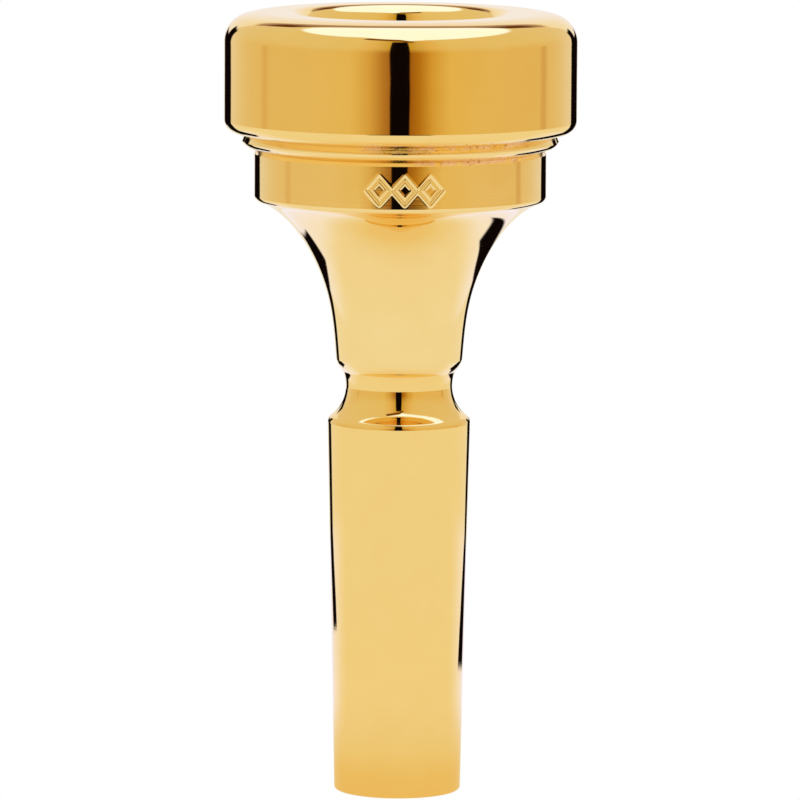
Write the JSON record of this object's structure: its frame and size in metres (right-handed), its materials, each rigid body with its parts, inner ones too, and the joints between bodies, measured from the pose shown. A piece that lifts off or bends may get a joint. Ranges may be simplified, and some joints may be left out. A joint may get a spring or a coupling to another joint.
{
  "type": "flugelhorn mouthpiece",
  "caption": "Gold-plated brass mouthpiece with a rounded rim, a bell-shaped cup on a narrow waist and a slim tapered shank, in screw-together sections.",
  "frame": {"origin": "centre of the shank's end face, where the mouthpiece stands; the exit of the bore", "axes": "+Z along the bore from the shank's end towards the rim; X and Y are arbitrary because the part is turned"},
  "size_m": [0.0274, 0.0274, 0.0611],
  "materials": {
    "gold_plate": "turned brass, polished and gold plated to a mirror"
  },
  "bodies": {
    "shank": {"shank": "gold_plate"},
    "cup": {"cup": "gold_plate"},
    "rim": {"rim": "gold_plate"}
  },
  "joints": [
    {"name": "cup_unscrew", "type": "slide", "parent": "shank", "child": "cup", "axis": [0, 0, 1], "range_m": [0, 0.01]},
    {"name": "rim_unscrew", "type": "slide", "parent": "cup", "child": "rim", "axis": [0, 0, 1], "range_m": [0, 0.01]}
  ]
}
